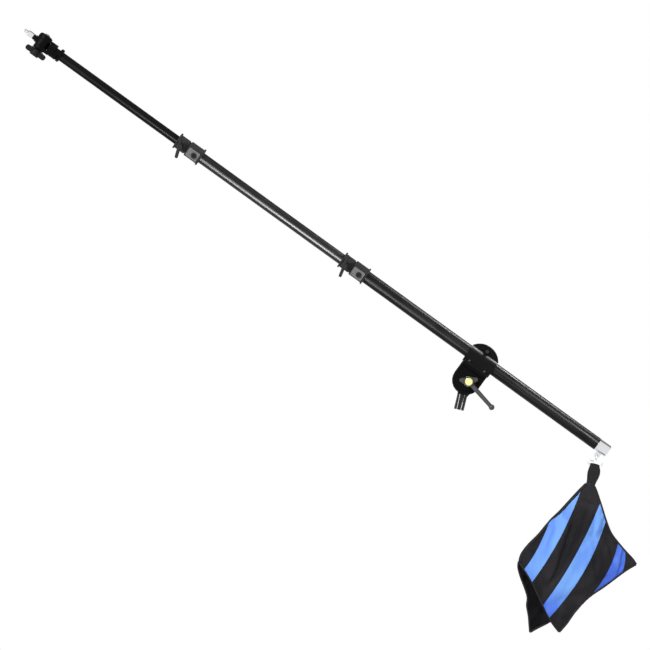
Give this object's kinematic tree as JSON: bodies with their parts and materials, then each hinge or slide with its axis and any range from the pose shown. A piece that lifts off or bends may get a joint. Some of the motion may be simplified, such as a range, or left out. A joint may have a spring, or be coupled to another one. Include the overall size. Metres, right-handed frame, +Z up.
{
  "type": "overhead boom arm",
  "caption": "Overhead boom arm: tilting clamp head on a stand socket, telescoping tube boom with a swivelling light stud and a hanging saddle sandbag.",
  "frame": {"origin": "centre of the stand socket's mouth, where a stand's spigot enters", "axes": "+Z up, +X towards the counterweight, -Y the side with the tilt lever"},
  "size_m": [1.9408, 0.1288, 1.2526],
  "materials": {
    "black_metal": "satin black coat on cast aluminium",
    "black_tube": "satin black anodised",
    "brass": "plain",
    "chrome": "polished",
    "cloth": "woven nylon with pale blue stripes",
    "collar_black": "moulded black",
    "dark_steel": "blackened",
    "fibre": "friction fibre",
    "knob_black": "moulded black",
    "lever_grey": "grey coat",
    "plastic": "plain",
    "socket_black": "gloss black",
    "steel": "plain zinc",
    "webbing": "woven nylon"
  },
  "bodies": {
    "stand_socket": {"socket_casting": "socket_black", "friction_disc": "fibre", "pivot_bolt": "steel", "pivot_nut": "steel"},
    "spigot_lock": {"spigot_lock_screw": "steel", "spigot_lock_knob": "knob_black"},
    "tilt_head": {"head_casting": "black_metal", "clamp_cap": "black_metal", "cap_screw_1": "dark_steel", "cap_screw_2": "dark_steel", "cap_screw_3": "dark_steel", "cap_screw_4": "dark_steel", "web_screw": "dark_steel", "boom_pad": "brass", "lever_washer": "steel"},
    "boom_lock": {"boom_lock_screw": "steel", "boom_lock_knob": "knob_black"},
    "tilt_lever": {"tilt_lever_casting": "lever_grey", "tilt_lever_cap": "brass"},
    "outer_section": {"outer_tube": "black_tube", "end_cap": "chrome", "collar_b_casting": "collar_black", "collar_b_plate": "steel", "collar_b_bolt": "dark_steel", "collar_b_shoe": "brass"},
    "collar_b_lock": {"collar_b_screw": "steel", "collar_b_knob": "knob_black"},
    "middle_section": {"middle_tube": "black_tube", "middle_guide": "plastic", "collar_a_casting": "collar_black", "collar_a_plate": "steel", "collar_a_bolt": "dark_steel", "collar_a_shoe": "brass"},
    "collar_a_lock": {"collar_a_screw": "steel", "collar_a_knob": "knob_black"},
    "inner_section": {"inner_tube": "black_tube", "inner_guide": "plastic", "stop_ring": "black_metal", "fork": "black_metal", "tip_friction_upper": "fibre", "tip_friction_lower": "fibre", "tip_bolt": "steel", "tip_washer": "steel"},
    "tip_lock": {"tip_knob": "knob_black"},
    "stud_swivel": {"tongue": "black_metal", "light_stud": "chrome"},
    "hook": {"hook_wire": "chrome"},
    "weight_bag": {"webbing_loop": "webbing", "saddle_band": "cloth", "front_pouch": "cloth", "back_pouch": "cloth"}
  },
  "joints": [
    {"name": "boom_tilt", "type": "hinge", "parent": "stand_socket", "child": "tilt_head", "pos_m": [0.006, 0, 0.08], "axis": [0, 1, 0], "range_deg": [-62, 38]},
    {"name": "spigot_lock_turn", "type": "hinge", "parent": "stand_socket", "child": "spigot_lock", "pos_m": [0, 0, 0.02], "axis": [0, 1, 0], "continuous": true},
    {"name": "boom_lock_turn", "type": "hinge", "parent": "tilt_head", "child": "boom_lock", "pos_m": [0.02554, -0.0381, 0.14437], "axis": [0, 1, 0], "continuous": true},
    {"name": "tilt_lever_turn", "type": "hinge", "parent": "tilt_head", "child": "tilt_lever", "pos_m": [0.006, 0, 0.08], "axis": [0, 1, 0], "range_deg": [-50, 40]},
    {"name": "boom_slide", "type": "slide", "parent": "tilt_head", "child": "outer_section", "axis": [0.9272, 0, -0.3746], "range_m": [-0.1, 0.33]},
    {"name": "collar_b_lock_turn", "type": "hinge", "parent": "outer_section", "child": "collar_b_lock", "pos_m": [-0.38892, -0.0381, 0.31182], "axis": [-0.1095, -0.9563, -0.2711], "continuous": true},
    {"name": "middle_slide", "type": "slide", "parent": "outer_section", "child": "middle_section", "axis": [0.9272, 0, -0.3746], "range_m": [-0.06, 0.455]},
    {"name": "collar_a_lock_turn", "type": "hinge", "parent": "middle_section", "child": "collar_a_lock", "pos_m": [-0.89562, -0.0381, 0.51654], "axis": [-0.1095, -0.9563, -0.2711], "continuous": true},
    {"name": "inner_slide", "type": "slide", "parent": "middle_section", "child": "inner_section", "axis": [0.9272, 0, -0.3746], "range_m": [-0.08, 0.37]},
    {"name": "tip_lock_turn", "type": "hinge", "parent": "inner_section", "child": "tip_lock", "pos_m": [-1.32444, -0.0381, 0.6898], "axis": [0.3746, 0, 0.9272], "continuous": true},
    {"name": "stud_tilt", "type": "hinge", "parent": "inner_section", "child": "stud_swivel", "pos_m": [-1.32444, -0.0381, 0.6898], "axis": [0.3746, 0, 0.9272], "range_deg": [-90, 90]},
    {"name": "hook_swing", "type": "hinge", "parent": "outer_section", "child": "hook", "pos_m": [0.38936, -0.0381, -0.02959], "axis": [0, -1, 0], "range_deg": [-60, 24]},
    {"name": "bag_swing", "type": "hinge", "parent": "hook", "child": "weight_bag", "pos_m": [0.38936, -0.0381, -0.05759], "axis": [1, 0, 0], "range_deg": [-35, 35]}
  ]
}
